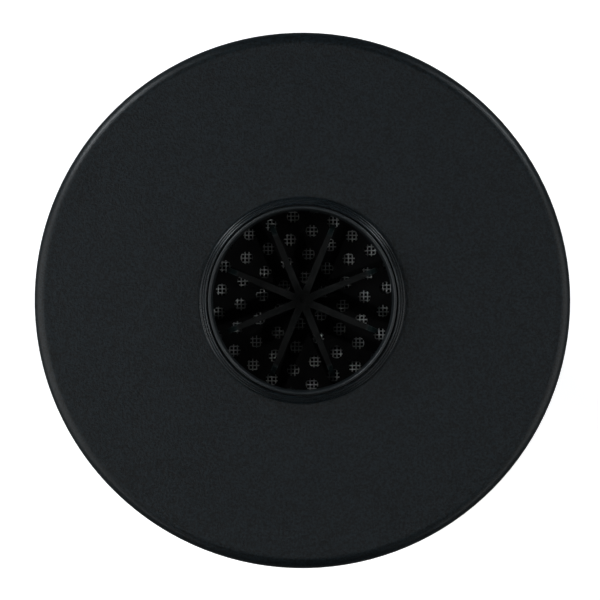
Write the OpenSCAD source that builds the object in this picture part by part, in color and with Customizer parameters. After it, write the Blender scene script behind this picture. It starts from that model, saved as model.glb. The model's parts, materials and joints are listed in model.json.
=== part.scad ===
// Kitchen food waste disposer, continuous feed, seen as it hangs below a sink.
// Millimetres, +Z up, the base plane at z = 0 and the shaft on the Z axis.
// The drain elbow leaves towards +X and the dishwasher inlet towards -X.

/* [Cover] */
// Outer diameter of the top cover and shell
cover_d = 230; // [228:1:240]
// Radius of the rounded outer edge of the cover
cover_round = 5; // [3:0.5:6]
// Wall thickness of the cover and shell
shell_wall = 3; // [2.5:0.5:3]

/* [Throat] */
// Radius of the throat bore
throat_r = 38.8; // [38:0.1:38.8]
// Height of the neck lip above the cover plane
collar_h = 8; // [7:0.5:9]

/* [Turntable] */
// Radius of the drain holes in the turntable
hole_r = 2.9; // [2:0.1:3.2]
// Spacing of the drain holes
hole_pitch = 10.85; // [10:0.05:11]
// Direction of one row of drain holes, in degrees
hole_turn = 22.5; // [0:0.5:60]

/* [Breaker wheel] */
// Number of blades
blade_count = 8; // [4:1:10]
// Radius where the top edge of a blade ends
blade_r = 35.2; // [30:0.1:35.2]
// Blade thickness at the hub
blade_root = 3.6; // [2.6:0.1:3.8]
// Blade thickness at the tip
blade_tip = 2.3; // [1.4:0.1:2.6]

/* [Motor] */
// Outer radius of the motor can
can_r = 70; // [69.5:0.1:70]
// Radius of the motor shaft
shaft_r = 6.35; // [6:0.05:6.35]
// Number of stator slots
slot_count = 24; // [12:2:24]
// Number of rotor bars
bar_count = 28; // [16:1:30]

/* [Drain] */
// Outside radius of the drain pipe, for a 1-1/2 inch tailpipe
pipe_r = 19.05; // [18.5:0.05:19.05]
// Wall thickness of the drain pipe
pipe_wall = 2; // [1.5:0.1:2.5]
// Outside radius of the dishwasher inlet
inlet_r = 11.1; // [10:0.1:11.5]

/* [Wiring] */
// Radius of the cable entry, for a 7/8 inch knock-out
cable_r = 11.1; // [10:0.1:11.1]

/* [View] */
// Sub-part to draw

/* [Hidden] */
$fn = 96;
eps = 0.05;

// How far a cut runs past the surface that it opens
over = 1;

// Running clearance of the shaft in its bearings, and of a lug on its pin
run_gap = 0.05;
// Gap left between parts of one body that slip over each other
slip = 0.02;

// Heights of the stack, from the base up
floor_z = 8;
floor_h = 3;
lower_frame_z = 38;
can_z = 44;
stack_z = 66;
stack_h = 40;
can_top_z = 134;
drain_z = 142;
outlet_z = 162.5;
flange_z = 184;
flange_h = 4;
gasket_h = 2;
chamber_z = flange_z + flange_h + gasket_h;
pan_z = chamber_z + flange_h;
plate_z = 187;
plate_h = 3;
plate_top_z = plate_z + plate_h;
shell_top_z = 281.5;
cover_z = 292;
neck_top_z = cover_z + collar_h;
wheel_top_z = 222;
sink_h = 1.6;
mesh_h = 0.9;
clamp_z = plate_z - 2.7;

// Radii
cover_r = cover_d / 2;
shell_in_r = cover_r - shell_wall;
chamber_in_r = 70;
chamber_out_r = 73;
flange_r = 82;
chamber_screw_r = 77.5;
chamber_bolt_r = 2.5;
plate_r = 66.2;
neck_wall = 1.4;
// Radius of the inside of the cover's collar, just outside the neck
collar_in_r = throat_r + neck_wall + 0.55;
neck_r = throat_r + neck_wall;
drain_in_r = 60;
drain_out_r = 64;
post_r = 103;
stub_r = 4;
sink_r = 3.4;
pin_place_r = 57.5;
pin_r = 3;
stator_in_r = 42;
winding_in_r = 46;
winding_out_r = 60.5;
stator_out_r = can_r - 2;
rotor_r = 41.5;
bar_place_r = 37.5;
bar_r = 2.08;
cage_in_r = 32;
cage_out_r = 40.5;
cage_h = 4;
bearing_r = 10;
bolt_place_r = 64.5;
bolt_r = 2.4;
elbow_bend_r = 19.5;
elbow_x = 75.5;
leg_x = elbow_x + elbow_bend_r;
leg_bottom_z = 98;
ear_y = 29;
outlet_bore_r = 17.5;
lip_r = 20.3;
ear_r = 6;
lip_x = 70;
lip_end_x = 72;
flange_end_x = 75;
inlet_z = 236;
inlet_end_x = 108;
inlet_root_x = 81.5;
inlet_bore_r = 8.5;
well_in_r = 18;
well_out_r = 20;
button_x = -30;
button_y = -30;
button_r = 4.2;
base_post_r = 60;
cable_x = 22;
cable_y = 40;
ground_x = 22;
ground_y = 40;
cover_screw_x = -35.5;
cover_screw_y = 40;
wire_x = [-27, -9, -2];
wire_y = 42;
hub_r = 15;

// Fastener patterns: how many, and the direction of the first one in degrees
chamber_screw_count = 6;
chamber_screw_turn = 30;
post_count = 4;
post_turn = 45;
base_post_count = 3;
base_post_turn = 45;
bolt_count = 4;
rivet_count = 6;
rivet_turn = 15;

// Fastener sizes: clearance holes, shanks and heads
chamber_hole_r = 2.8;
pilot_r = 1.8;
tapping_r = 1.75;
tapping_head_r = 4.2;
tapping_head_h = 2.6;
rivet_place_r = 48.6;
rivet_r = 1.5;
rivet_hole_r = 1.52;
rivet_head_r = 1.9;
hub_screw_hole_r = 2.52;
hub_screw_r = 2.48;

// Colours
black_plastic = [0.13, 0.15, 0.16];
dark_plastic = [0.08, 0.09, 0.1];
rubber = [0.05, 0.05, 0.05];
steel = [0.72, 0.73, 0.74];
zinc = [0.8, 0.8, 0.78];
alloy = [0.66, 0.67, 0.68];
copper = [0.75, 0.42, 0.2];
bronze = [0.7, 0.55, 0.3];
foam = [0.25, 0.26, 0.28];
red = [0.75, 0.06, 0.05];
green = [0.1, 0.45, 0.15];

// Points along an arc, for the profiles
function arc(cx, cy, r, a0, a1, n = 6) =
  [for (i = [0:n]) [cx + r * cos(a0 + (a1 - a0) * i / n), cy + r * sin(a0 + (a1 - a0) * i / n)]];

// A plain ring between two heights
module ring(r_in, r_out, z0, z1) {
  translate([0, 0, z0])
  difference() {
    cylinder(r = r_out, h = z1 - z0);
    translate([0, 0, -over])
      cylinder(r = r_in, h = z1 - z0 + 2 * over);
  }
}

// A solid rod between two heights, at a place
module rod(x, y, r, z0, z1) {
  translate([x, y, z0])
    cylinder(r = r, h = z1 - z0);
}

// Copies of a child turned round the axis
module around(count, first = 0) {
  for (i = [0:count - 1])
    rotate([0, 0, first + i * 360 / count])
      children();
}

// A rod along X between two distances, at a given side offset and height
module rod_x(x0, x1, y, z, r) {
  translate([x0, y, z])
    rotate([0, 90, 0])
      cylinder(r = r, h = x1 - x0);
}

// A screw with a domed washer head above its shank and a cross recess
module screw(r, head_r, head_h, length) {
  difference() {
    union() {
      translate([0, 0, -length])
        cylinder(r = r, h = length + eps);
      rotate_extrude()
        polygon(concat([[0, 0], [head_r, 0], [head_r, head_h * 0.4]],
          arc(head_r - head_h * 0.6, head_h * 0.4, head_h * 0.6, 0, 90, 4), [[0, head_h]]));
    }
    for (a = [0, 90])
      rotate([0, 0, a])
        translate([-head_r * 0.55, -head_r * 0.11, head_h * 0.45])
          cube([head_r * 1.1, head_r * 0.22, head_h]);
  }
}

// ---- Upper housing ----

// Stepped collar and disc with a rounded outer edge, as one half profile
module cover_profile() {
  gap_r = collar_in_r;
  step = 0.95;
  soft = 0.45;
  top_z = neck_top_z - 0.7;
  second_z = neck_top_z - 2.2;
  third_z = cover_z + 4;
  foot_z = cover_z + 0.5;
  under_z = cover_z - shell_wall;
  hem_in_r = shell_in_r - 1.6;
  hem_z = shell_top_z - 5;
  fillet = 2.5;
  polygon(concat(
    [[gap_r, cover_z - 6]],
    arc(gap_r + soft, top_z - soft, soft, 180, 90, 3),
    arc(gap_r + step - soft, top_z - soft, soft, 90, 0, 4),
    [[gap_r + step, second_z]],
    arc(gap_r + 2 * step - soft, second_z - soft, soft, 90, 0, 4),
    [[gap_r + 2 * step, third_z]],
    arc(gap_r + 3 * step - soft, third_z - soft, soft, 90, 0, 4),
    [[gap_r + 3 * step, foot_z]],
    arc(gap_r + 3 * step + foot_z - cover_z, foot_z, foot_z - cover_z, 180, 270, 3),
    arc(cover_r - cover_round, cover_z - cover_round, cover_round, 90, 0, 10),
    [[cover_r, shell_top_z + 0.5], [shell_in_r, shell_top_z + 0.5]],
    [[shell_in_r, hem_z], [hem_in_r, hem_z]],
    [[hem_in_r, under_z - fillet]],
    arc(hem_in_r - fillet, under_z - fillet, fillet, 0, 90, 5),
    [[gap_r + 2.6, under_z], [gap_r + 2.6, cover_z - 6]]
  ));
}

module top_cover() {
  color(black_plastic) {
    difference() {
      union() {
        rotate_extrude()
          cover_profile();
        // stiffening ribs and hollow screw posts under the disc
        around(12, 15)
          translate([neck_r + 5, -1, cover_z - shell_wall - 3.5])
            cube([shell_in_r - 8 - neck_r, 2, 3.6]);
        around(post_count, post_turn)
          rod(post_r, 0, 5, pan_z + 3, cover_z - shell_wall + eps);
      }
      around(post_count, post_turn)
        rod(post_r, 0, pilot_r, pan_z, pan_z + 26);
    }
  }
}

module neck_seal() {
  color(rubber)
    rotate_extrude()
      polygon(concat(
        [[neck_r + slip, cover_z - 10], [neck_r + 4, cover_z - 10]],
        [[neck_r + 4, cover_z - 6 - slip], [collar_in_r - slip, cover_z - 6 - slip]],
        [[collar_in_r - slip, neck_top_z - 3.4], [neck_r + slip, neck_top_z - 3.4]]));
}

module side_shell() {
  edge_round = 2;
  color(black_plastic)
    difference() {
      union() {
        rotate_extrude()
          polygon(concat(
            [[shell_in_r, pan_z]],
            arc(cover_r - edge_round, pan_z + edge_round, edge_round, 270, 360, 4),
            [[cover_r, shell_top_z], [shell_in_r, shell_top_z]]));
        // low rib that stiffens the bottom edge
        ring(shell_in_r - 1.2, shell_in_r + 1, pan_z + 11, pan_z + 15);
      }
      rod_x(-cover_r - 1, -shell_in_r + 6, 0, inlet_z, well_out_r + slip);
      // shallow finger grooves above the bottom edge
      for (z = [pan_z + 6, pan_z + 12, pan_z + 18])
        ring(cover_r - 0.8, cover_r + 1, z, z + 1.6);
    }
}

module under_pan() {
  color(black_plastic)
    difference() {
      union() {
        ring(chamber_out_r + 2.5, shell_in_r - slip, pan_z, pan_z + 3);
        ring(shell_in_r - 3, shell_in_r - slip, pan_z, pan_z + 9);
        ring(flange_r + 3, flange_r + 5, pan_z, pan_z + 6);
        around(16, 11.25)
          translate([flange_r + 4, -0.9, pan_z])
            cube([shell_in_r - flange_r - 5.5, 1.8, 6]);
      }
      around(chamber_screw_count, chamber_screw_turn)
        rod(chamber_screw_r, 0, chamber_hole_r, pan_z - 1, pan_z + 5);
      around(post_count, post_turn)
        rod(post_r, 0, 2.3, pan_z - 1, pan_z + 4);
      // seats for the four posts of the cover
      around(post_count, post_turn)
        rod(post_r, 0, 5.3, pan_z + 3, pan_z + 12);
    }
}

module shell_screws() {
  color(zinc)
    around(post_count, post_turn)
      translate([post_r, 0, pan_z])
        rotate([180, 0, 0])
          screw(tapping_r, tapping_head_r, tapping_head_h, 18);
}

module sound_liner() {
  color(foam)
    difference() {
      rotate_extrude()
        polygon([
          [75.5, pan_z + 7], [96, pan_z + 7], [96, cover_z - 8],
          [48, cover_z - 8], [48, 275], [75.5, 257]]);
      rod_x(-110, -60, 0, inlet_z, well_out_r + 0.5);
    }
}

module inlet_well() {
  color(dark_plastic)
    difference() {
      union() {
        rod_x(-shell_in_r - 1.5, -77, 0, inlet_z, well_out_r);
        intersection() {
          rod_x(-cover_r, -shell_in_r + 4, 0, inlet_z, well_out_r + 3);
          ring(shell_in_r - 2.6, shell_in_r - slip, inlet_z - 30, inlet_z + 30);
        }
      }
      rod_x(-cover_r - 1, -80, 0, inlet_z, well_in_r);
      rod_x(-82, -70, 0, inlet_z, inlet_r + 1.7);
    }
}

module inlet_plug() {
  color(dark_plastic) {
    rod_x(-77, -74.5, 0, inlet_z, inlet_bore_r - slip);
    difference() {
      rod_x(-81, -77, 0, inlet_z, inlet_bore_r - slip);
      rod_x(-82, -77, 0, inlet_z, 7);
    }
  }
}

// ---- Grinding chamber ----

module grind_chamber() {
  neck_foot_z = cover_z - 18;
  color(dark_plastic)
    difference() {
      union() {
        rotate_extrude()
          polygon(concat(
            [[chamber_in_r, chamber_z], [flange_r, chamber_z], [flange_r, chamber_z + flange_h]],
            [[chamber_out_r, chamber_z + flange_h], [chamber_out_r, 248]],
            arc(chamber_out_r - 14, 248, 14, 0, 60, 6),
            [[neck_r, 275]],
            arc(neck_r - 0.7, neck_top_z - 0.7, 0.7, 0, 90, 4),
            arc(throat_r + 0.7, neck_top_z - 0.7, 0.7, 90, 180, 4),
            [[throat_r, neck_foot_z]],
            arc(chamber_in_r - 11, 248, 11, 60, 0, 6)));
        // dishwasher inlet stub, thicker at its root
        rod_x(-inlet_end_x, -chamber_in_r - 1.2, 0, inlet_z, inlet_r);
        rod_x(-inlet_root_x, -chamber_in_r - 1.2, 0, inlet_z, inlet_r + 1.4);
        // ribs that stiffen the wall
        around(6, 0)
          translate([chamber_out_r - 0.5, -1.5, chamber_z + flange_h - eps])
            cube([2, 3, 24]);
      }
      rod_x(-inlet_end_x - 1, -60, 0, inlet_z, inlet_bore_r);
      around(chamber_screw_count, chamber_screw_turn)
        rod(chamber_screw_r, 0, chamber_hole_r, chamber_z - 1, chamber_z + flange_h + 1);
    }
}

module grind_ring() {
  notch_count = 36;
  ring_in_r = 67;
  color(steel)
    difference() {
      ring(ring_in_r, chamber_in_r - slip, flange_z + flange_h, flange_z + flange_h + 24);
      around(notch_count)
        translate([ring_in_r - 1, -1.6, flange_z + flange_h - 1])
          cube([2.4, 3.2, 19]);
    }
}

module chamber_gasket() {
  color(rubber)
    difference() {
      ring(chamber_in_r, flange_r - 0.5, flange_z + flange_h, chamber_z);
      around(chamber_screw_count, chamber_screw_turn)
        rod(chamber_screw_r, 0, chamber_hole_r, flange_z, chamber_z + 1);
    }
}

module chamber_screws() {
  color(zinc)
    around(chamber_screw_count, chamber_screw_turn)
      translate([chamber_screw_r, 0, pan_z + 3])
        screw(chamber_bolt_r, 4.4, 3.4, 22);
}

// ---- Drain chamber and outlet ----

module drain_chamber() {
  wheel_room_r = plate_r + 0.8;
  color(dark_plastic)
    difference() {
      union() {
        rotate_extrude()
          polygon(concat(
            [[0, drain_z], [drain_out_r, drain_z], [drain_out_r, 170]],
            [[drain_out_r + 3.5, flange_z], [flange_r, flange_z], [flange_r, flange_z + flange_h]],
            [[wheel_room_r, flange_z + flange_h], [wheel_room_r, 184.5], [drain_in_r, 174]],
            [[drain_in_r, drain_z + 6]],
            arc(drain_in_r - 3, drain_z + 6, 3, 0, -90, 4),
            [[18, drain_z + 4], [15, drain_z + 5], [15, drain_z + 8.5], [0, drain_z + 8.5]]));
        difference() {
          union() {
            rod_x(48, 68, 0, outlet_z, 21);
            for (side = [-1, 1]) {
              rod_x(50, 68, side * ear_y, outlet_z, ear_r);
              translate([50, side > 0 ? 0 : -ear_y, outlet_z - ear_r])
                cube([18, ear_y, 2 * ear_r]);
            }
          }
          // nothing of the outlet boss reaches below the floor or into the chamber
          translate([40, -40, drain_z - 10])
            cube([40, 80, 10]);
          rod(0, 0, drain_in_r + 1, drain_z - 5, flange_z + 4);
        }
        around(chamber_screw_count, chamber_screw_turn)
          rod(chamber_screw_r, 0, 4.4, flange_z - 8, flange_z + eps);
      }
      rod_x(50, 69, 0, outlet_z, outlet_bore_r);
      for (side = [-1, 1])
        rod_x(54, 69, side * ear_y, outlet_z, 2.1);
      rod(0, 0, 11, drain_z - 1, drain_z + 10);
      around(chamber_screw_count, chamber_screw_turn)
        rod(chamber_screw_r, 0, chamber_bolt_r + slip, flange_z - 9, flange_z + flange_h + 1);
      around(post_count, post_turn)
        rod(bolt_place_r - 9, 0, 2.1, drain_z - 1, drain_z + 3);
    }
}

module shaft_seal() {
  color(rubber)
    difference() {
      rod(0, 0, 11 - slip, drain_z, drain_z + 8.5);
      rod(0, 0, shaft_r + 0.3, drain_z - 1, drain_z + 10);
      ring(shaft_r + 1.6, 9.4, drain_z + 4, drain_z + 10);
    }
}

module elbow_gasket() {
  color(rubber)
    translate([0, 0, outlet_z])
      rotate([0, 90, 0])
        ring(outlet_bore_r, lip_r, 68, lip_x);
}

module discharge_elbow() {
  bore = pipe_r - pipe_wall;
  color(dark_plastic) {
    difference() {
      union() {
        rod_x(lip_x, lip_end_x, 0, outlet_z, lip_r);
        rod_x(lip_end_x, elbow_x, 0, outlet_z, pipe_r);
      }
      rod_x(lip_x - over, elbow_x + over, 0, outlet_z, bore);
    }
    translate([elbow_x, 0, outlet_z - elbow_bend_r])
      rotate([90, 0, 0])
        rotate_extrude(angle = 90)
          translate([elbow_bend_r, 0])
            difference() {
              circle(r = pipe_r);
              circle(r = bore);
            }
    difference() {
      rod(leg_x, 0, pipe_r, leg_bottom_z, outlet_z - elbow_bend_r);
      rod(leg_x, 0, bore, leg_bottom_z - over, outlet_z - elbow_bend_r + over);
    }
  }
}

module elbow_flange() {
  color(zinc)
    difference() {
      union() {
        rod_x(lip_end_x, flange_end_x, 0, outlet_z, lip_r);
        for (side = [-1, 1]) {
          rod_x(lip_end_x, flange_end_x, side * ear_y, outlet_z, ear_r);
          translate([lip_end_x, side > 0 ? 0 : -ear_y, outlet_z - ear_r])
            cube([flange_end_x - lip_end_x, ear_y, 2 * ear_r]);
        }
      }
      rod_x(lip_end_x - over, flange_end_x + over, 0, outlet_z, pipe_r + 0.15);
      for (side = [-1, 1])
        rod_x(lip_end_x - over, flange_end_x + over, side * ear_y, outlet_z, 2.4);
    }
}

module elbow_screws() {
  color(zinc)
    for (side = [-1, 1])
      translate([flange_end_x, side * ear_y, outlet_z])
        rotate([0, 90, 0])
          screw(2, 4.2, 2.8, 19);
}

// ---- Motor ----

module upper_end_frame() {
  color(alloy)
    difference() {
      union() {
        rod(0, 0, can_r, can_top_z, can_top_z + 3);
        ring(can_r - 6, can_r, can_top_z, drain_z);
        rod(0, 0, hub_r, can_top_z - 14, drain_z);
        ring(can_r - 10, stator_out_r - slip, can_top_z - 4, can_top_z + eps);
        around(8, 22.5)
          translate([hub_r - 1, -1.5, can_top_z])
            cube([can_r - 18, 3, drain_z - can_top_z]);
        around(post_count, post_turn)
          rod(bolt_place_r - 9, 0, 5, can_top_z, drain_z);
      }
      rod(0, 0, shaft_r + 1, can_top_z - 20, drain_z + 1);
      rod(0, 0, bearing_r, can_top_z - 15, drain_z - 4);
      around(bolt_count)
        rod(bolt_place_r, 0, bolt_r + 0.2, can_top_z - 5, drain_z + 1);
    }
}

// A plain sleeve bearing
module sleeve_bearing(z0, z1) {
  difference() {
    rod(0, 0, bearing_r - slip, z0, z1);
    rod(0, 0, shaft_r + run_gap, z0 - over, z1 + over);
  }
}

module upper_bearing() {
  color(bronze)
    sleeve_bearing(can_top_z - 14, drain_z - 4);
}

module motor_can() {
  bead_r = 1.6;
  low_bead_z = can_z + 22;
  high_bead_z = can_top_z - 9;
  slot_w = 3;
  color(steel)
    difference() {
      // sleeve with two rolled beads that stiffen it
      rotate_extrude()
        polygon(concat(
          [[stator_out_r, can_z], [can_r, can_z]],
          arc(can_r - bead_r / 2, low_bead_z, bead_r, -60, 60, 6),
          arc(can_r - bead_r / 2, high_bead_z, bead_r, -60, 60, 6),
          [[can_r, can_top_z], [stator_out_r, can_top_z]]));
      // cooling slots low on the can
      around(16, 11.25)
        translate([can_r - 5, -slot_w / 2, can_z + 5])
          cube([8, slot_w, 7]);
    }
}

module stator_core() {
  slot_w = 4.8;
  mouth_w = 1.6;
  color(steel)
    difference() {
      ring(stator_in_r, stator_out_r - slip, stack_z, stack_z + stack_h);
      around(slot_count)
        translate([winding_in_r, -slot_w / 2, stack_z - over])
          cube([12.5, slot_w, stack_h + 2 * over]);
      around(slot_count)
        translate([stator_in_r - over, -mouth_w / 2, stack_z - over])
          cube([6, mouth_w, stack_h + 2 * over]);
      around(bolt_count)
        rod(bolt_place_r, 0, bolt_r + 0.6, stack_z - 1, stack_z + stack_h + 1);
    }
}

// One bundle of end turns, as a rounded ring
module end_turns(z0, z1) {
  soft = 4;
  rotate_extrude()
    polygon(concat(
      arc(winding_in_r + soft, z0 + soft, soft, 180, 270, 4),
      arc(winding_out_r - soft, z0 + soft, soft, 270, 360, 4),
      arc(winding_out_r - soft, z1 - soft, soft, 0, 90, 4),
      arc(winding_in_r + soft, z1 - soft, soft, 90, 180, 4)));
}

module stator_windings() {
  turn_h = 11;
  bundle_w = 4.2;
  color(copper) {
    end_turns(stack_z - turn_h, stack_z - slip);
    end_turns(stack_z + stack_h + slip, stack_z + stack_h + turn_h);
    around(slot_count)
      translate([winding_in_r + 0.6, -bundle_w / 2, stack_z - 1])
        cube([11.4, bundle_w, stack_h + 2]);
  }
}

module through_bolts() {
  color(zinc)
    around(bolt_count)
      translate([bolt_place_r, 0, 0]) {
        rod(0, 0, bolt_r, lower_frame_z - eps, drain_z - slip);
        translate([0, 0, lower_frame_z - 3.4])
          cylinder(r = 4.4, h = 3.4, $fn = 6);
      }
}

module lower_end_frame() {
  color(alloy)
    difference() {
      union() {
        rod(0, 0, can_r, lower_frame_z + 3, can_z);
        ring(can_r - 5, can_r, lower_frame_z, can_z);
        rod(0, 0, hub_r, 26, can_z + 2);
        ring(can_r - 10, stator_out_r - slip, can_z - eps, can_z + 4);
        around(8, 22.5)
          translate([hub_r - 1, -1.5, lower_frame_z - 2])
            cube([can_r - 18, 3, can_z - lower_frame_z + 1]);
        around(bolt_count)
          rod(bolt_place_r - 0.5, 0, 5, lower_frame_z, can_z - 1);
        around(base_post_count, base_post_turn)
          rod(base_post_r, 0, 4.5, 24, can_z - 1);
      }
      rod(0, 0, shaft_r + 1, 20, can_z + 5);
      rod(0, 0, bearing_r, 28, can_z + 3);
      around(bolt_count)
        rod(bolt_place_r, 0, bolt_r + 0.2, lower_frame_z - 1, can_z + 5);
      around(base_post_count, base_post_turn)
        rod(base_post_r, 0, pilot_r, 23, 38);
      for (x = wire_x)
        rod(x, wire_y, 1.7, lower_frame_z - 3, can_z + 5);
    }
}

module lower_bearing() {
  color(bronze)
    sleeve_bearing(28, can_z + 1);
}

module thrust_washer() {
  color(dark_plastic)
    ring(shaft_r + 0.1, 9.8, can_z + 1, can_z + 2.8);
}

module start_switch() {
  case_w = 18;
  case_h = 9;
  color([0.55, 0.36, 0.2]) {
    translate([24, -case_w / 2, can_z])
      cube([case_w, case_w, case_h]);
    translate([28, -7, can_z + case_h])
      cube([10, 14, 2]);
  }
  // spring lever that the governor collar presses
  color(copper)
    translate([11.5, -3, can_z + 3.2])
      cube([13, 6, 0.6]);
}

module lead_wires() {
  wire_top = can_z + 1.5;
  colours = [[0.9, 0.9, 0.88], [0.1, 0.1, 0.1], [0.1, 0.5, 0.2]];
  for (i = [0:2]) {
    color(colours[i]) {
      rod(wire_x[i], wire_y, 1.4, 20, wire_top);
      rod(wire_x[i], wire_y, 3, 14, 22);
    }
  }
}

module overload_protector() {
  case_w = 22;
  case_d = 18;
  case_h = 15;
  case_z = floor_z + floor_h;
  color(dark_plastic)
    difference() {
      union() {
        translate([button_x - case_w / 2, button_y - case_d / 2, case_z])
          cube([case_w, case_d, case_h]);
        translate([button_x - case_w / 2 + 2, button_y - case_d / 2 + 2, case_z + case_h])
          cube([case_w - 4, case_d - 4, 2.5]);
      }
      rod(button_x, button_y, button_r + 0.3, floor_z, floor_z + 15);
      rod(button_x, button_y, button_r + 1.6, floor_z, floor_z + 9);
    }
}

module terminal_box() {
  box_w = 72;
  box_d = 32;
  box_h = 21;
  sheet = 1;
  color(steel)
    difference() {
      translate([-box_w / 2, 24, floor_z + floor_h])
        cube([box_w, box_d, box_h]);
      translate([-box_w / 2 + sheet, 24 + sheet, floor_z])
        cube([box_w - 2 * sheet, box_d - 2 * sheet, floor_h + box_h - sheet]);
      for (x = wire_x)
        rod(x, wire_y, 1.6, 20, 40);
      rod(ground_x, ground_y, 2.1, 20, 40);
    }
}

module ground_screw() {
  color(green)
    translate([ground_x, ground_y, floor_z + floor_h + 20])
      rotate([180, 0, 0])
        screw(2, 4, 2.4, 5);
}

module bottom_cover() {
  wall_top = lower_frame_z - 4;
  color(black_plastic)
    difference() {
      union() {
        rotate_extrude()
          polygon(concat(
            [[0, floor_z], [can_r - 1, floor_z], [can_r - 1, 1], [can_r, 0], [can_r + 2, 0]],
            arc(can_r + 1.5, 1.5, 1.5, 270, 360, 3),
            [[can_r + 3, can_z + 6], [can_r + slip, can_z + 6]],
            [[can_r + slip, lower_frame_z], [can_r - 1, wall_top]],
            [[can_r - 1, floor_z + floor_h], [0, floor_z + floor_h]]));
        rod(cable_x, cable_y, cable_r + 2.4, floor_z - 2, floor_z + eps);
        ring(shaft_r + 3.4, shaft_r + 5, floor_z - 2, 19);
        around(base_post_count, base_post_turn)
          rod(base_post_r, 0, 4.5, floor_z, 24 - slip);
      }
      rod(0, 0, shaft_r + 3.4, floor_z - 3, floor_z + 8);
      rod(button_x, button_y, button_r + 0.3, floor_z - 1, floor_z + 4);
      rod(cable_x, cable_y, cable_r, floor_z - 3, floor_z + 4);
      translate([-32, 28, floor_z - 1])
        cube([38, 24, 5]);
      around(base_post_count, base_post_turn)
        rod(base_post_r, 0, 2.2, floor_z - 1, 25);
      rod(cover_screw_x, cover_screw_y, 1.4, floor_z - 1, floor_z + 4);
    }
}

module bottom_screws() {
  color(zinc)
    around(base_post_count, base_post_turn)
      translate([base_post_r, 0, floor_z])
        rotate([180, 0, 0])
          screw(tapping_r, tapping_head_r, tapping_head_h, 26);
}

module wiring_cover() {
  color(zinc)
    difference() {
      union() {
        translate([-39, 26, floor_z - 1.2])
          cube([47, 28, 1.2]);
        translate([-31, 29, floor_z - 1.2])
          cube([36, 22, 3.2]);
      }
      translate([-30, 30, floor_z - 3])
        cube([34, 20, 3.8]);
      rod(cover_screw_x, cover_screw_y, 1.7, floor_z - 2, floor_z + 1);
    }
}

module cover_screw() {
  color(zinc)
    translate([cover_screw_x, cover_screw_y, floor_z - 1.2])
      rotate([180, 0, 0])
        screw(1.35, 3, 1.8, 4);
}

// ---- Rotor ----

module motor_shaft() {
  color(steel)
    difference() {
      union() {
        rod(0, 0, shaft_r, 22, plate_z - 3);
        rod(0, 0, 7.5, plate_z - 3, plate_z);
        rod(0, 0, stub_r, plate_z - eps, wheel_top_z - 8);
      }
      // hex socket for the 1/4 inch wrench that frees a jam
      translate([0, 0, 21])
        cylinder(r = 6.35 / 2 / cos(30), h = 11, $fn = 6);
      rod(0, 0, 2.5, wheel_top_z - 20, wheel_top_z);
    }
}

module rotor_core() {
  color(steel)
    difference() {
      ring(shaft_r + slip, rotor_r, stack_z, stack_z + stack_h);
      around(bar_count)
        rod(bar_place_r, 0, bar_r + slip, stack_z - over, stack_z + stack_h + over);
      around(6)
        rod(20, 0, 4, stack_z - 1, stack_z + stack_h + 1);
    }
}

module rotor_cage() {
  color(alloy) {
    ring(cage_in_r, cage_out_r, stack_z - cage_h, stack_z);
    ring(cage_in_r, cage_out_r, stack_z + stack_h, stack_z + stack_h + cage_h);
    around(bar_count)
      rod(bar_place_r, 0, bar_r, stack_z - 1, stack_z + stack_h + 1);
    // cooling fins on the upper end ring
    around(9)
      translate([cage_in_r + 1, -0.8, stack_z + stack_h + cage_h - 1])
        cube([6.5, 1.6, 6]);
  }
}

module governor_base() {
  color(zinc) {
    ring(shaft_r + slip, 18, 59.5, 61);
    ring(shaft_r + slip, 10, 58, stack_z - slip);
    for (side = [0, 180])
      rotate([0, 0, side])
        translate([14, -5, 57.5])
          cube([6, 10, 4]);
  }
}

module governor_collar() {
  color([0.86, 0.85, 0.8]) {
    ring(shaft_r + run_gap, 10, can_z + 4.4, can_z + 10.5);
    ring(shaft_r + run_gap, 17, can_z + 4.4, can_z + 6);
  }
}

module water_slinger() {
  color(rubber) {
    ring(shaft_r + slip, 17.6, drain_z + 10, drain_z + 13);
    ring(16, 17.6, drain_z + 7, drain_z + 11);
    ring(shaft_r + slip, 9.5, drain_z + 12.5, drain_z + 17);
  }
}

// Places of the drain holes: a hexagonal lattice centred on the shaft
holes_out_r = 43.6;
holes_in_r = 8;
hole_places = [
  for (i = [-5:5]) for (j = [-5:5])
    let (x = hole_pitch * (i + j / 2), y = hole_pitch * j * sin(60))
      if (norm([x, y]) < holes_out_r && norm([x, y]) > holes_in_r) [x, y]
];

module turntable() {
  color(dark_plastic)
    difference() {
      union() {
        rod(0, 0, plate_r, plate_z, plate_top_z);
        // stiffening rib under the plate
        ring(51, 53, plate_z - 3, plate_z + eps);
      }
      rod(0, 0, stub_r + slip, plate_z - 1, plate_top_z + 1);
      rotate([0, 0, hole_turn])
        for (p = hole_places)
          rod(p[0], p[1], hole_r, plate_z - 1, plate_top_z + 1);
      around(2)
        rod(pin_place_r, 0, pin_r + slip, plate_z - 4, plate_top_z + 1);
      around(rivet_count, rivet_turn)
        rod(rivet_place_r, 0, rivet_hole_r, plate_z - 1, plate_top_z + 1);
    }
}

module drain_screen() {
  color([0.75, 0.76, 0.76])
    difference() {
      ring(7.8, 50.4, plate_z - mesh_h, plate_z);
      around(rivet_count, rivet_turn)
        rod(rivet_place_r, 0, rivet_hole_r, plate_z - 2, plate_z + 1);
    }
}

module screen_ring() {
  color(steel)
    difference() {
      ring(46.8, 50.6, clamp_z, plate_z - mesh_h);
      around(rivet_count, rivet_turn)
        rod(rivet_place_r, 0, rivet_hole_r, plate_z - 4, plate_z);
    }
}

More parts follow.
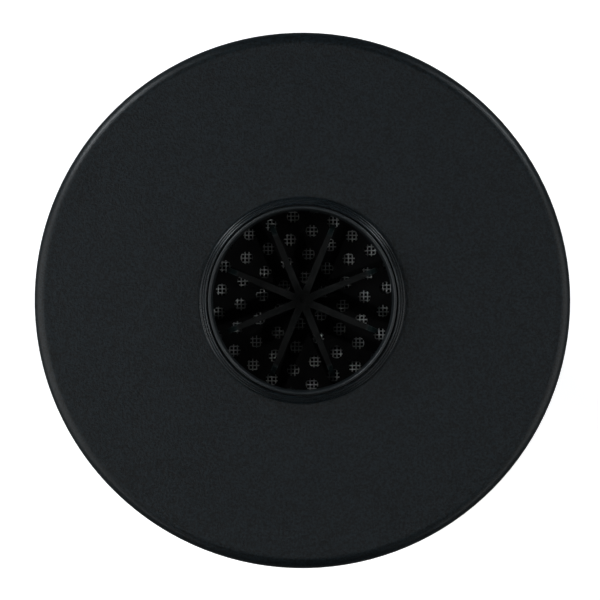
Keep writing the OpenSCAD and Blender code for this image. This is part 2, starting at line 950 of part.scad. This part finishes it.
module screen_rivets() {
  color(steel)
    around(rivet_count, rivet_turn) {
      rod(rivet_place_r, 0, rivet_r, plate_z - 3, plate_top_z + eps);
      rod(rivet_place_r, 0, rivet_head_r, clamp_z - 0.5, clamp_z);
      rod(rivet_place_r, 0, rivet_head_r, plate_top_z, plate_top_z + 0.6);
    }
}

module impeller_pins() {
  head_z = plate_top_z + 11.7;
  color(steel)
    around(2) {
      rod(pin_place_r, 0, pin_r, plate_z, head_z);
      rod(pin_place_r, 0, 4.4, head_z, head_z + 1.5);
    }
}

// A swivel lug: flat base, rounded ends and one tall grinding face
module swivel_lug() {
  lug_z = plate_top_z + 0.4;
  lug_h = 11;
  lug_w = 9.2;
  lug_l = 14.8;
  end_r = 8.2;
  difference() {
    union() {
      rod(0, 0, 5.4, lug_z, lug_z + lug_h);
      translate([-lug_w / 2, -lug_l / 2, lug_z])
        cube([lug_w, lug_l, 3.4]);
      intersection() {
        translate([-lug_w / 2, -lug_l / 2, lug_z])
          cube([lug_w, 5.4, lug_h]);
        rod(0, 0, end_r, lug_z, lug_z + 2 * lug_h);
      }
    }
    rod(0, 0, pin_r + run_gap, lug_z - over, lug_z + 2 * lug_h);
    ring(end_r, 14, lug_z - over, lug_z + lug_h + over);
  }
}

module impeller_a() {
  color(steel)
    translate([pin_place_r, 0, 0])
      swivel_lug();
}

module impeller_b() {
  color(steel)
    rotate([0, 0, 180])
      translate([pin_place_r, 0, 0])
        swivel_lug();
}

module breaker_wheel() {
  hub_top_r = 4.4;
  hub_foot_r = 7.2;
  blade_foot_z = wheel_top_z - 18;
  color([0.3, 0.32, 0.33])
    difference() {
      union() {
        rotate_extrude()
          polygon([
            [0, plate_top_z], [hub_foot_r, plate_top_z], [hub_foot_r, plate_top_z + 4],
            [5.8, blade_foot_z], [hub_top_r, wheel_top_z], [0, wheel_top_z]]);
        intersection() {
          translate([0, 0, blade_foot_z])
            linear_extrude(height = 30)
              around(blade_count, hole_turn)
                polygon(concat(
                  [[0, -blade_root / 2]],
                  arc(blade_r + 2 - blade_tip / 2, 0, blade_tip / 2, -90, 90, 4),
                  [[0, blade_root / 2]]));
          rotate_extrude()
            polygon(concat(
              [[0, blade_foot_z], [5, blade_foot_z], [blade_r + 2.2, wheel_top_z - 9]],
              arc(blade_r - 3, wheel_top_z - 5, 5, -10, 90, 6),
              [[0, wheel_top_z]]));
        }
      }
      rod(0, 0, stub_r + slip, plate_z, wheel_top_z - 8);
      rod(0, 0, hub_screw_hole_r, wheel_top_z - 9, wheel_top_z + over);
      // seat of the flush screw
      translate([0, 0, wheel_top_z - sink_h])
        cylinder(r1 = hub_screw_hole_r, r2 = sink_r + 0.04, h = sink_h + slip);
    }
}

// Flush screw with a hex socket that holds the wheel to the shaft
module hub_screw() {
  color(steel)
    difference() {
      union() {
        rod(0, 0, hub_screw_r, wheel_top_z - 17, wheel_top_z - sink_h);
        translate([0, 0, wheel_top_z - sink_h])
          cylinder(r1 = hub_screw_r, r2 = sink_r, h = sink_h);
      }
      translate([0, 0, wheel_top_z - 2])
        cylinder(r = 1.4, h = 3, $fn = 6);
    }
}

module reset_button() {
  color(red) {
    rod(button_x, button_y, button_r, floor_z - 3.5, floor_z + 9);
    rod(button_x, button_y, button_r + 1.1, floor_z + floor_h + 0.4, floor_z + floor_h + 2);
  }
}

top_cover();
neck_seal();
side_shell();
under_pan();
shell_screws();
sound_liner();
inlet_well();
inlet_plug();
grind_chamber();
grind_ring();
chamber_gasket();
chamber_screws();
drain_chamber();
shaft_seal();
elbow_gasket();
discharge_elbow();
elbow_flange();
elbow_screws();
upper_end_frame();
upper_bearing();
motor_can();
stator_core();
stator_windings();
through_bolts();
lower_end_frame();
lower_bearing();
thrust_washer();
start_switch();
lead_wires();
overload_protector();
terminal_box();
ground_screw();
bottom_cover();
bottom_screws();
wiring_cover();
cover_screw();
motor_shaft();
rotor_core();
rotor_cage();
governor_base();
water_slinger();
turntable();
drain_screen();
screen_ring();
screen_rivets();
impeller_pins();
breaker_wheel();
hub_screw();
impeller_a();
impeller_b();
governor_collar();
reset_button();
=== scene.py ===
import json
import math

import bmesh
import bpy
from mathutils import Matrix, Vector


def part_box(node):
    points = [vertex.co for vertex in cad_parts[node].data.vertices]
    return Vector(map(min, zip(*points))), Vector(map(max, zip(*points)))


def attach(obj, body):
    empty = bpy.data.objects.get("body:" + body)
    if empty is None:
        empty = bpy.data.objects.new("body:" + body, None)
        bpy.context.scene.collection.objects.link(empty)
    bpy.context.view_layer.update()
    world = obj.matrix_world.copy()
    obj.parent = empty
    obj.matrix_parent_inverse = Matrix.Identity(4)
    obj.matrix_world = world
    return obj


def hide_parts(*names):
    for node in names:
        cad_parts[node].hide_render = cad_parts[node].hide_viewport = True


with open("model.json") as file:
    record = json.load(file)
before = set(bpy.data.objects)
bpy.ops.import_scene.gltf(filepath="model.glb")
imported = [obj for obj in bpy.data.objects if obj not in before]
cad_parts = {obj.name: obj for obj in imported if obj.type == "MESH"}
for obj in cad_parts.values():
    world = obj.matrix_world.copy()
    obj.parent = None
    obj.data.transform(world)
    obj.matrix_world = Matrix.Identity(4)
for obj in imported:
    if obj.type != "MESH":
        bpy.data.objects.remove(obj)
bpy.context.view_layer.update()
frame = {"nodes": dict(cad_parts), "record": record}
MM = 0.001

# Sockets of the colour mix node, which share their names with its hidden ones
MIX_A, MIX_B, MIX_RESULT = 6, 7, 2


# ---------------------------------------------------------------- materials

def adder(tree):
    """A short way to add nodes to a tree: an input is given as a value or as the socket that feeds it."""
    def add(kind, inputs=None, **settings):
        node = tree.nodes.new(kind)
        for key, value in settings.items():
            setattr(node, key, value)
        for key, value in (inputs or {}).items():
            if isinstance(value, bpy.types.NodeSocket):
                tree.links.new(value, node.inputs[key])
            else:
                node.inputs[key].default_value = value
        return node

    return add


def new_material(name):
    """A new node material with only its shader and output."""
    material = bpy.data.materials.new(name)
    material.use_nodes = True
    return material, material.node_tree, shader_of(material)


def shader_of(material):
    return material.node_tree.nodes["Principled BSDF"]


def opaque(colour):
    return tuple(colour[:3]) + (1.0,)


def shade(colour, factor):
    return opaque([min(1.0, c * factor) for c in colour[:3]])


def surface(name, colour, rough, metal=0.0, grain=0.4, grain_depth=0.05, grain_strength=0.25,
            mottle=14.0, vary=0.16, scuff=0.3, scuff_colour=None, wear=0.35, wear_colour=None,
            coat=0.0, specular=0.5, rough_vary=0.08, turned=False, speckle=0.06, waviness=0.12):
    """A moulded, cast or turned surface. Sizes are in millimetres.

    grain is the size of the fine bumps, speckle how much they show in the colour, mottle the size of
    the soft colour clouds, scuff how many rubbed marks show, wear how much the edges are rubbed,
    and waviness the strength of the slow bumps."""
    material, tree, shader = new_material(name)
    add, link = adder(tree), tree.links.new
    place = add("ShaderNodeTexCoord").outputs["Object"]

    # fine grain, or rings where the metal was turned
    if turned:
        parts = add("ShaderNodeSeparateXYZ", {0: place})
        flat = add("ShaderNodeCombineXYZ", {"X": parts.outputs[0], "Y": parts.outputs[1]})
        radius = add("ShaderNodeVectorMath", {0: flat.outputs[0]}, operation="LENGTH")
        rings_at = add("ShaderNodeCombineXYZ", {"X": radius.outputs["Value"], "Y": parts.outputs[2]})
        fine = add("ShaderNodeTexNoise", {"Vector": rings_at.outputs[0], "Scale": 1000 / grain, "Detail": 3.0})
    else:
        fine = add("ShaderNodeTexNoise", {"Vector": place, "Scale": 1000 / grain, "Detail": 5.0,
                                          "Roughness": 0.65})
    pits = add("ShaderNodeMapRange", {"Value": fine.outputs["Fac"], "From Min": 0.4, "From Max": 0.6,
                                      "To Min": 1 - speckle, "To Max": 1 + speckle})

    # soft clouds of colour, with the grain in them
    clouds = add("ShaderNodeTexNoise", {"Vector": place, "Scale": 1000 / mottle, "Detail": 4.0, "Roughness": 0.6})
    tone = add("ShaderNodeMapRange", {"Value": clouds.outputs["Fac"], "From Min": 0.3, "From Max": 0.7,
                                      "To Min": 0.0, "To Max": 1.0})
    base = add("ShaderNodeMix", {"Factor": tone.outputs[0]}, data_type="RGBA")
    base.inputs[MIX_A].default_value = shade(colour, 1 - vary)
    base.inputs[MIX_B].default_value = shade(colour, 1 + vary)
    grained = add("ShaderNodeVectorMath", {0: base.outputs[MIX_RESULT], "Scale": pits.outputs[0]},
                  operation="SCALE")
    seen = grained.outputs[0]

    # long thin rubbed marks: stretched noise, kept only at its peaks
    stretch = add("ShaderNodeMapping", {"Vector": place, "Scale": (1.0, 0.16, 0.5), "Rotation": (0.3, 0.2, 0.7)})
    marks = add("ShaderNodeTexNoise", {"Vector": stretch.outputs[0], "Scale": 420.0, "Detail": 6.0,
                                       "Roughness": 0.7})
    broad = add("ShaderNodeTexNoise", {"Vector": place, "Scale": 22.0, "Detail": 3.0})
    peaks = add("ShaderNodeMapRange", {"Value": marks.outputs["Fac"], "From Min": 0.62, "From Max": 0.78})
    where = add("ShaderNodeMapRange", {"Value": broad.outputs["Fac"], "From Min": 0.45, "From Max": 0.65})
    rubbed = add("ShaderNodeMath", {0: peaks.outputs[0], 1: where.outputs[0]}, operation="MULTIPLY")
    amount = add("ShaderNodeMath", {0: rubbed.outputs[0], 1: scuff}, operation="MULTIPLY")
    marked = add("ShaderNodeMix", {"Factor": amount.outputs[0]}, data_type="RGBA")
    link(seen, marked.inputs[MIX_A])
    marked.inputs[MIX_B].default_value = opaque(scuff_colour or shade(colour, 2.4))
    seen = marked.outputs[MIX_RESULT]

    # edges that are rubbed: where the rounded normal leaves the flat one
    if wear:
        soft = add("ShaderNodeBevel", {"Radius": 0.6 * MM}, samples=4)
        plain = add("ShaderNodeNewGeometry")
        along = add("ShaderNodeVectorMath", {0: soft.outputs[0], 1: plain.outputs["Normal"]},
                    operation="DOT_PRODUCT")
        edge = add("ShaderNodeMapRange", {"Value": along.outputs["Value"], "From Min": 0.985, "From Max": 0.88})
        broken = add("ShaderNodeMath", {0: edge.outputs[0], 1: tone.outputs[0]}, operation="MULTIPLY")
        edged = add("ShaderNodeMath", {0: broken.outputs[0], 1: wear}, operation="MULTIPLY")
        worn = add("ShaderNodeMix", {"Factor": edged.outputs[0]}, data_type="RGBA")
        link(seen, worn.inputs[MIX_A])
        worn.inputs[MIX_B].default_value = opaque(wear_colour or shade(colour, 2.2))
        seen = worn.outputs[MIX_RESULT]
    link(seen, shader.inputs["Base Color"])

    # roughness follows the clouds and the rubbed marks
    satin = add("ShaderNodeMapRange", {"Value": clouds.outputs["Fac"], "From Min": 0.3, "From Max": 0.7,
                                       "To Min": rough - rough_vary, "To Max": rough + rough_vary})
    polished = add("ShaderNodeMath", {0: amount.outputs[0], 1: -0.2, 2: satin.outputs[0]},
                   operation="MULTIPLY_ADD")
    link(polished.outputs[0], shader.inputs["Roughness"])

    # bumps: the fine grain over slow waviness
    slow = add("ShaderNodeTexNoise", {"Vector": place, "Scale": 60.0, "Detail": 2.0})
    wave = add("ShaderNodeBump", {"Height": slow.outputs["Fac"], "Strength": waviness, "Distance": 0.4 * MM})
    bump = add("ShaderNodeBump", {"Height": fine.outputs["Fac"], "Strength": grain_strength,
                                  "Distance": grain_depth * MM, "Normal": wave.outputs[0]})
    link(bump.outputs[0], shader.inputs["Normal"])

    shader.inputs["Metallic"].default_value = metal
    shader.inputs["Specular IOR Level"].default_value = specular
    if coat:
        shader.inputs["Coat Weight"].default_value = coat
        shader.inputs["Coat Roughness"].default_value = 0.25
    return material


FINISHES = {
    # what the photograph shows
    "cover_plastic": dict(colour=(0.0034, 0.0060, 0.0076), rough=0.33, grain=0.9, grain_depth=0.36,
                          grain_strength=1.0, mottle=18, vary=0.05, scuff=0.12, specular=0.28, speckle=0.95,
                          rough_vary=0.015, waviness=0.02, scuff_colour=(0.03, 0.034, 0.036), wear=0.25),
    "table_black": dict(colour=(0.0016, 0.0018, 0.0024), rough=0.6, specular=0.12, grain=0.5, mottle=9,
                        vary=0.3, scuff=0.3, scuff_colour=(0.006, 0.0065, 0.0065), wear=0.4,
                        wear_colour=(0.01, 0.011, 0.011)),
    "blade_steel": dict(colour=(0.0024, 0.0042, 0.0043), rough=0.5, specular=0.22, grain=0.35, mottle=6,
                        vary=0.3, scuff=0.3, scuff_colour=(0.02, 0.024, 0.024), wear=0.4,
                        wear_colour=(0.04, 0.045, 0.045)),
    "screen_wire": dict(colour=(0.62, 0.64, 0.64), rough=0.42, metal=0.5, grain=0.3, mottle=5, vary=0.22,
                        scuff=0.3, wear=0.0),
    # plastics, rubber and foam out of view
    "shell_plastic": dict(colour=(0.0046, 0.0072, 0.0092), rough=0.34, grain=1.0, grain_depth=0.36,
                          grain_strength=1.0, mottle=24, vary=0.08, scuff=0.3, specular=0.3, speckle=0.9,
                          rough_vary=0.03, waviness=0.04, scuff_colour=(0.03, 0.034, 0.036), wear=0.35),
    "chamber_plastic": dict(colour=(0.0070, 0.0098, 0.0115), rough=0.44, specular=0.35, grain=0.8,
                            grain_depth=0.09, grain_strength=0.45, mottle=12, vary=0.2, scuff=0.35, wear=0.4,
                            scuff_colour=(0.04, 0.042, 0.043)),
    "soft_rubber": dict(colour=(0.010, 0.010, 0.011), rough=0.72, grain=0.6, grain_depth=0.08, mottle=8,
                        vary=0.25, scuff=0.35, scuff_colour=(0.05, 0.05, 0.05), wear=0.3),
    "foam": dict(colour=(0.034, 0.035, 0.038), rough=0.95, grain=1.4, grain_depth=0.9, grain_strength=1.0,
                 mottle=6, vary=0.4, scuff=0.0, wear=0.0, specular=0.2),
    "phenolic": dict(colour=(0.16, 0.07, 0.03), rough=0.45, grain=0.7, mottle=5, vary=0.3, scuff=0.3, wear=0.4),
    "nylon": dict(colour=(0.62, 0.59, 0.50), rough=0.42, grain=0.5, mottle=10, vary=0.08, scuff=0.3,
                  scuff_colour=(0.35, 0.32, 0.26), wear=0.2, wear_colour=(0.7, 0.68, 0.6)),
    "wire_jackets": dict(colour=(0.45, 0.45, 0.43), rough=0.4, grain=0.5, mottle=5, vary=0.1, scuff=0.3,
                         scuff_colour=(0.2, 0.2, 0.19), wear=0.0),
    "red_plastic": dict(colour=(0.42, 0.008, 0.008), rough=0.3, grain=0.6, mottle=4, vary=0.15, scuff=0.4,
                        scuff_colour=(0.6, 0.12, 0.1), wear=0.3, wear_colour=(0.6, 0.1, 0.08), coat=0.3),
    # metals out of view
    "stainless": dict(colour=(0.50, 0.51, 0.52), rough=0.3, metal=1.0, grain=0.35, turned=True, vary=0.1,
                      scuff=0.4, scuff_colour=(0.3, 0.3, 0.3), wear=0.3, wear_colour=(0.75, 0.75, 0.75)),
    "grind_alloy": dict(colour=(0.36, 0.36, 0.37), rough=0.42, metal=1.0, grain=0.9, grain_depth=0.12,
                        mottle=7, vary=0.22, scuff=0.5, wear=0.5),
    "zinc_screws": dict(colour=(0.52, 0.53, 0.50), rough=0.32, metal=1.0, grain=0.3, mottle=4, vary=0.18,
                        scuff=0.35, scuff_colour=(0.3, 0.28, 0.22), wear=0.4, wear_colour=(0.7, 0.7, 0.68)),
    "die_cast": dict(colour=(0.42, 0.43, 0.44), rough=0.5, metal=0.95, grain=1.1, grain_depth=0.2,
                     grain_strength=0.5, mottle=11, vary=0.2, scuff=0.3, scuff_colour=(0.2, 0.2, 0.2), wear=0.5),
    "can_steel": dict(colour=(0.20, 0.21, 0.215), rough=0.38, metal=0.35, grain=0.9, grain_depth=0.05,
                      mottle=40, vary=0.08, scuff=0.35, scuff_colour=(0.36, 0.36, 0.36), wear=0.5, coat=0.25),
    "lamination": dict(colour=(0.16, 0.165, 0.175), rough=0.42, metal=0.9, grain=0.3, vary=0.2, scuff=0.2,
                       wear=0.2),
    "bronze": dict(colour=(0.46, 0.28, 0.11), rough=0.36, metal=1.0, grain=0.35, turned=True, vary=0.2,
                   scuff=0.4, scuff_colour=(0.18, 0.1, 0.04), wear=0.4),
    "green_screw": dict(colour=(0.015, 0.13, 0.03), rough=0.34, metal=0.7, grain=0.3, mottle=3, vary=0.25,
                        scuff=0.5, scuff_colour=(0.3, 0.4, 0.3), wear=0.6, wear_colour=(0.5, 0.55, 0.45)),
    "enamel_copper": dict(colour=(0.42, 0.12, 0.035), rough=0.28, metal=0.9, grain=0.4, mottle=4, vary=0.3,
                          scuff=0.4, scuff_colour=(0.6, 0.3, 0.12), wear=0.2, coat=0.4),
}
MATERIALS = {name: surface(name, **finish) for name, finish in FINISHES.items()}


def finish_lamination(material):
    """A stack of stamped sheets: thin lines at a fixed pitch up the stack, over the other bumps."""
    add, normal = adder(material.node_tree), shader_of(material).inputs["Normal"]
    place = add("ShaderNodeTexCoord")
    bands = add("ShaderNodeTexWave", {"Vector": place.outputs["Object"], "Scale": 620.0}, bands_direction="Z")
    bump = add("ShaderNodeBump", {"Height": bands.outputs["Fac"], "Strength": 0.5, "Distance": 0.2 * MM,
                                  "Normal": normal.links[0].from_socket})
    material.node_tree.links.new(bump.outputs[0], normal)


def multiply(material, socket, factor):
    """Scales what a shader socket gets, a number or a colour, by a factor that varies over the surface."""
    add = adder(material.node_tree)
    if not socket.links:
        scaled = add("ShaderNodeMath", {0: factor, 1: socket.default_value}, operation="MULTIPLY")
    elif socket.type == "RGBA":
        scaled = add("ShaderNodeVectorMath", {0: socket.links[0].from_socket, "Scale": factor}, operation="SCALE")
    else:
        scaled = add("ShaderNodeMath", {0: factor, 1: socket.links[0].from_socket}, operation="MULTIPLY")
    material.node_tree.links.new(scaled.outputs[0], socket)


def by_radius(material, stops):
    """A number that changes with the distance from the shaft, through stops of (millimetres, value)."""
    add = adder(material.node_tree)
    place = add("ShaderNodeTexCoord").outputs["Object"]
    across = add("ShaderNodeVectorMath", {0: place, 1: (1.0, 1.0, 0.0)}, operation="MULTIPLY")
    radius = add("ShaderNodeVectorMath", {0: across.outputs[0]}, operation="LENGTH").outputs["Value"]
    result = stops[0][1]
    for (start, _), (end, value) in zip(stops, stops[1:]):
        result = add("ShaderNodeMapRange", {"Value": radius, "From Min": start * MM, "From Max": end * MM,
                                            "To Min": result, "To Max": value}).outputs[0]
    return result


# Where the cover's flat grained disc starts, outside the neck, and where it ends, at the rounded rim
DISC_STARTS = (44.1, 45.1)
DISC_ENDS = (109.6, 111.0)


def finish_cover(material):
    """The moulded grain covers the flat disc; the neck and the rounded rim are smoother."""
    def over_cover(at_neck, on_disc, at_rim):
        return by_radius(material, [(DISC_STARTS[0], at_neck), (DISC_STARTS[1], on_disc),
                                    (DISC_ENDS[0], on_disc), (DISC_ENDS[1], at_rim)])

    shader = shader_of(material)
    grain = shader.inputs["Normal"].links[0].from_node.inputs["Strength"]
    multiply(material, grain, over_cover(0.05, 1.0, 0.3))
    multiply(material, shader.inputs["Roughness"], over_cover(0.86, 1.0, 1.12))


def finish_blades(material):
    """Dull and darker towards the hub; the tips of the blades are painted bright as a painted highlight for their
    glints, and are less rough where they are rubbed.
    """
    shader = shader_of(material)
    multiply(material, shader.inputs["Roughness"],
             by_radius(material, [(4.0, 1.6), (9.0, 1.3), (24.0, 1.05), (30.5, 1.0), (32.0, 0.7)]))
    # colour: darker towards the hub, and a painted highlight at the tips, eight times brighter past 32 mm
    multiply(material, shader.inputs["Base Color"],
             by_radius(material, [(4.0, 0.25), (8.0, 0.6), (14.0, 0.8), (31.0, 1.0), (32.5, 8.0)]))


finish_lamination(MATERIALS["lamination"])
finish_cover(MATERIALS["cover_plastic"])
finish_blades(MATERIALS["blade_steel"])

SLOTS = {part["node"]: part["material_slot"] for part in frame["record"]["subparts"]}
for node_name, node_object in frame["nodes"].items():
    for material_slot in node_object.material_slots:
        material_slot.material = MATERIALS[SLOTS[node_name]]


# ---------------------------------------------------------------- woven drain screen

def new_piece(name, mesh_builder, body, slot, replaced=()):
    """Makes a mesh object, gives it its material, and fixes it to its body."""
    shape = bmesh.new()
    mesh_builder(shape)
    bmesh.ops.recalc_face_normals(shape, faces=shape.faces)
    mesh = bpy.data.meshes.new(name)
    shape.to_mesh(mesh)
    shape.free()
    piece = bpy.data.objects.new(name, mesh)
    bpy.context.collection.objects.link(piece)
    mesh.materials.append(MATERIALS[slot])
    mesh.polygons.foreach_set("use_smooth", [True] * len(mesh.polygons))
    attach(piece, body)
    if replaced:
        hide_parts(*replaced)
    return piece


def tube(shape, points, radius, sides, across):
    """A closed tube along points; across is the direction that stays level on each ring."""
    rings = []
    for i, point in enumerate(points):
        before, after = points[max(i - 1, 0)], points[min(i + 1, len(points) - 1)]
        along = (after - before).normalized()
        up = along.cross(across).normalized()
        rings.append([shape.verts.new(point + radius * (math.cos(a) * across + math.sin(a) * up))
                      for a in (2 * math.pi * k / sides for k in range(sides))])
    for first, second in zip(rings, rings[1:]):
        for k in range(sides):
            shape.faces.new((first[k], first[(k + 1) % sides], second[(k + 1) % sides], second[k]))
    shape.faces.new(reversed(rings[0]))
    shape.faces.new(rings[-1])


def revolve(shape, profile, steps=96):
    """A closed ring: profile is a loop of (radius, height) in metres."""
    rings = [[shape.verts.new((r * math.cos(a), r * math.sin(a), z)) for r, z in profile]
             for a in (2 * math.pi * k / steps for k in range(steps))]
    for k in range(steps):
        first, second = rings[k], rings[(k + 1) % steps]
        for j in range(len(profile)):
            n = (j + 1) % len(profile)
            shape.faces.new((first[j], first[n], second[n], second[j]))


# The CAD disc gives the screen its radius and its height; the hole is for the shaft.
SCREEN_LOW, SCREEN_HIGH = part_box("drain_screen")
SCREEN_R = SCREEN_HIGH[0]
SCREEN_Z = (SCREEN_LOW[2] + SCREEN_HIGH[2]) / 2
MESH_PITCH = 1.78 * MM
WIRE_R = 0.30 * MM
WIRE_SIDES = 5
WIRE_LIFT = 0.15 * MM  # how far a wire rises and falls as it crosses the others
MESH_HOLE_R = 8.2 * MM
MESH_R = SCREEN_R - 2.2 * MM
BAND_HALF = 0.43 * MM  # half the thickness of the rim and of the eyelet
BAND_SOFT = 0.2 * MM


def wire_points(offset, row, low, high, along_y):
    """The middle line of one wire, from low to high, at its offset from the shaft."""
    steps = max(2, int((high - low) / (MESH_PITCH / 2)))
    points = []
    for i in range(steps + 1):
        s = low + (high - low) * i / steps
        phase = math.pi * (s / MESH_PITCH + row + (1 if along_y else 0))
        z = SCREEN_Z + WIRE_LIFT * math.cos(phase)
        points.append(Vector((offset, s, z)) if along_y else Vector((s, offset, z)))
    return points


def band(shape, r0, r1):
    """A flat ring with softened corners, at the height of the mesh."""
    low, high = SCREEN_Z - BAND_HALF, SCREEN_Z + BAND_HALF
    revolve(shape, [(r0, low + BAND_SOFT), (r0 + BAND_SOFT, low), (r1 - BAND_SOFT, low), (r1, low + BAND_SOFT),
                    (r1, high - BAND_SOFT), (r1 - BAND_SOFT, high), (r0 + BAND_SOFT, high),
                    (r0, high - BAND_SOFT)])


def weave(shape):
    """Two crossing sets of wires, each passing over and under the other."""
    rows = int(MESH_R / MESH_PITCH)
    for along_y in (False, True):
        across = Vector((1, 0, 0)) if along_y else Vector((0, 1, 0))
        for row in range(-rows, rows + 1):
            offset = row * MESH_PITCH
            reach = math.sqrt(max(MESH_R ** 2 - offset ** 2, 0))
            if abs(offset) < MESH_HOLE_R:
                inner = math.sqrt(MESH_HOLE_R ** 2 - offset ** 2)
                spans = [(-reach, -inner), (inner, reach)]
            else:
                spans = [(-reach, reach)]
            for low, high in spans:
                tube(shape, wire_points(offset, row, low, high, along_y), WIRE_R, WIRE_SIDES, across)
    # folded rim that the clamp ring grips, and the small eyelet at the shaft
    band(shape, MESH_R - 0.6 * MM, SCREEN_R - 0.05 * MM)
    band(shape, 7.8 * MM, MESH_HOLE_R + 0.6 * MM)


new_piece("woven_screen", weave, "rotor", "screen_wire", ["drain_screen"])


# ---------------------------------------------------------------- floor and backdrop

FLOOR_DROP = 0.2 * MM  # keeps the floor clear of the foot ring
FLOOR_AS_LIGHT = 0.16  # how pale the floor is to anything but the camera
FLOOR_GLOW = 0.62
BACKDROP_AS_LIGHT = 0.036
BACKDROP_SEEN = 0.93

# Floor and backdrop are pale where the camera sees them and dimmer as lights, so that black plastic stays black.
bpy.ops.mesh.primitive_plane_add(size=8, location=(0, 0, -FLOOR_DROP))
floor = bpy.context.object
floor.name = "studio_floor"
floor_material, floor_tree, floor_shader = new_material("studio_floor")
add = adder(floor_tree)
to_camera = add("ShaderNodeLightPath").outputs["Is Camera Ray"]
patches = add("ShaderNodeTexNoise", {"Scale": 3.0, "Detail": 2.0})
floor_tone = add("ShaderNodeMapRange", {"Value": patches.outputs["Fac"], "To Min": 0.84, "To Max": 0.87})
floor_seen = add("ShaderNodeMapRange", {"Value": to_camera, "To Min": FLOOR_AS_LIGHT, "To Max": 1.0})
floor_pale = add("ShaderNodeMath", {0: floor_tone.outputs[0], 1: floor_seen.outputs[0]}, operation="MULTIPLY")
floor_glow = add("ShaderNodeMath", {0: to_camera, 1: FLOOR_GLOW}, operation="MULTIPLY")
floor_tree.links.new(floor_pale.outputs[0], floor_shader.inputs["Base Color"])
floor_tree.links.new(floor_glow.outputs[0], floor_shader.inputs["Emission Strength"])
floor_shader.inputs["Emission Color"].default_value = (1.0, 1.0, 1.0, 1.0)
floor_shader.inputs["Roughness"].default_value = 0.9
floor_shader.inputs["Specular IOR Level"].default_value = 0.1
floor.data.materials.append(floor_material)

world = bpy.data.worlds.new("studio")
bpy.context.scene.world = world
world.use_nodes = True
sky = world.node_tree
add = adder(sky)
dim = sky.nodes["Background"]
dim.inputs["Color"].default_value = (0.95, 0.98, 1.0, 1.0)
dim.inputs["Strength"].default_value = BACKDROP_AS_LIGHT
pale = add("ShaderNodeBackground", {"Color": (1.0, 1.0, 1.0, 1.0), "Strength": BACKDROP_SEEN})
both = add("ShaderNodeMixShader", {0: add("ShaderNodeLightPath").outputs["Is Camera Ray"],
                                   1: dim.outputs[0], 2: pale.outputs[0]})
sky.links.new(both.outputs[0], sky.nodes["World Output"].inputs["Surface"])


# ---------------------------------------------------------------- light

COOL = (0.90, 0.96, 1.0)
FAINTLY_COOL = (0.92, 0.97, 1.0)
COVER_MIDDLE = Vector((0, 0, 0.25))
THROAT_MOUTH = Vector((0, 0, 0.299))
FAR = 2.0
NEAR = 0.9


def hang(name, data, aim, azimuth, elevation, distance):
    """Places a lamp that points at aim; azimuth is counted from +X, towards +Y."""
    lamp = bpy.data.objects.new(name, data)
    a, e = math.radians(azimuth), math.radians(elevation)
    lamp.location = aim + distance * Vector((math.cos(a) * math.cos(e), math.sin(a) * math.cos(e), math.sin(e)))
    lamp.rotation_euler = (aim - lamp.location).to_track_quat("-Z", "Y").to_euler()
    bpy.context.collection.objects.link(lamp)


def softbox(name, azimuth, elevation, distance, width, power, tint=(1.0, 1.0, 1.0)):
    """A square area light aimed at the cover."""
    data = bpy.data.lights.new(name, "AREA")
    data.shape = "RECTANGLE"
    data.size = data.size_y = width
    data.energy = power
    data.color = tint
    hang(name, data, COVER_MIDDLE, azimuth, elevation, distance)


def snoot(name, azimuth, elevation, power):
    """A narrow lamp that shines only down the throat."""
    data = bpy.data.lights.new(name, "SPOT")
    data.energy = power
    data.spot_size = math.radians(2.05)
    data.spot_blend = 0.25
    data.shadow_soft_size = 0.02
    hang(name, data, THROAT_MOUTH, azimuth, elevation, FAR)


softbox("key_left", 138, 24, FAR, 0.28, 19.5, COOL)
softbox("fill_right", 42, 24, FAR, 0.26, 11.5, COOL)
softbox("side_left", 188, 24, NEAR, 0.9, 4.2)
softbox("side_right", 352, 24, NEAR, 0.75, 2.4)
softbox("low_left", 232, 22, FAR, 0.7, 2.5)
softbox("low_right", 312, 22, FAR, 0.7, 2.5)
softbox("front_left", 195, 64, FAR, 0.4, 4, FAINTLY_COOL)
softbox("front_right", 350, 64, FAR, 0.4, 1.8, FAINTLY_COOL)

snoot("snoot_back", 105, 71, 13)
snoot("snoot_left", 215, 71, 11)
snoot("snoot_right", 335, 71, 12)
snoot("snoot_top", 120, 86, 1.2)


# ---------------------------------------------------------------- camera

CAMERA_HEIGHT = 1.5
COVER_EDGE_Z = 0.2875  # height of the widest part of the cover
VIEW_WIDTH = 0.2575    # metres across the picture at that height
SENSOR = 36.0
PICTURE = 600          # pixels across the photograph, which the shifts are counted in
SHIFT = (-2.45, 0.45)  # pixels by which the object is off the middle

camera_data = bpy.data.cameras.new("camera")
camera_data.sensor_width = SENSOR
camera_data.lens = SENSOR * (CAMERA_HEIGHT - COVER_EDGE_Z) / VIEW_WIDTH
camera_data.shift_x = SHIFT[0] / PICTURE
camera_data.shift_y = SHIFT[1] / PICTURE
camera_data.clip_start = 0.01
camera = bpy.data.objects.new("camera", camera_data)
camera.location = (0, 0, CAMERA_HEIGHT)
bpy.context.collection.objects.link(camera)
bpy.context.scene.camera = camera

bpy.context.scene.view_settings.view_transform = "Standard"
bpy.context.scene.view_settings.look = "None"
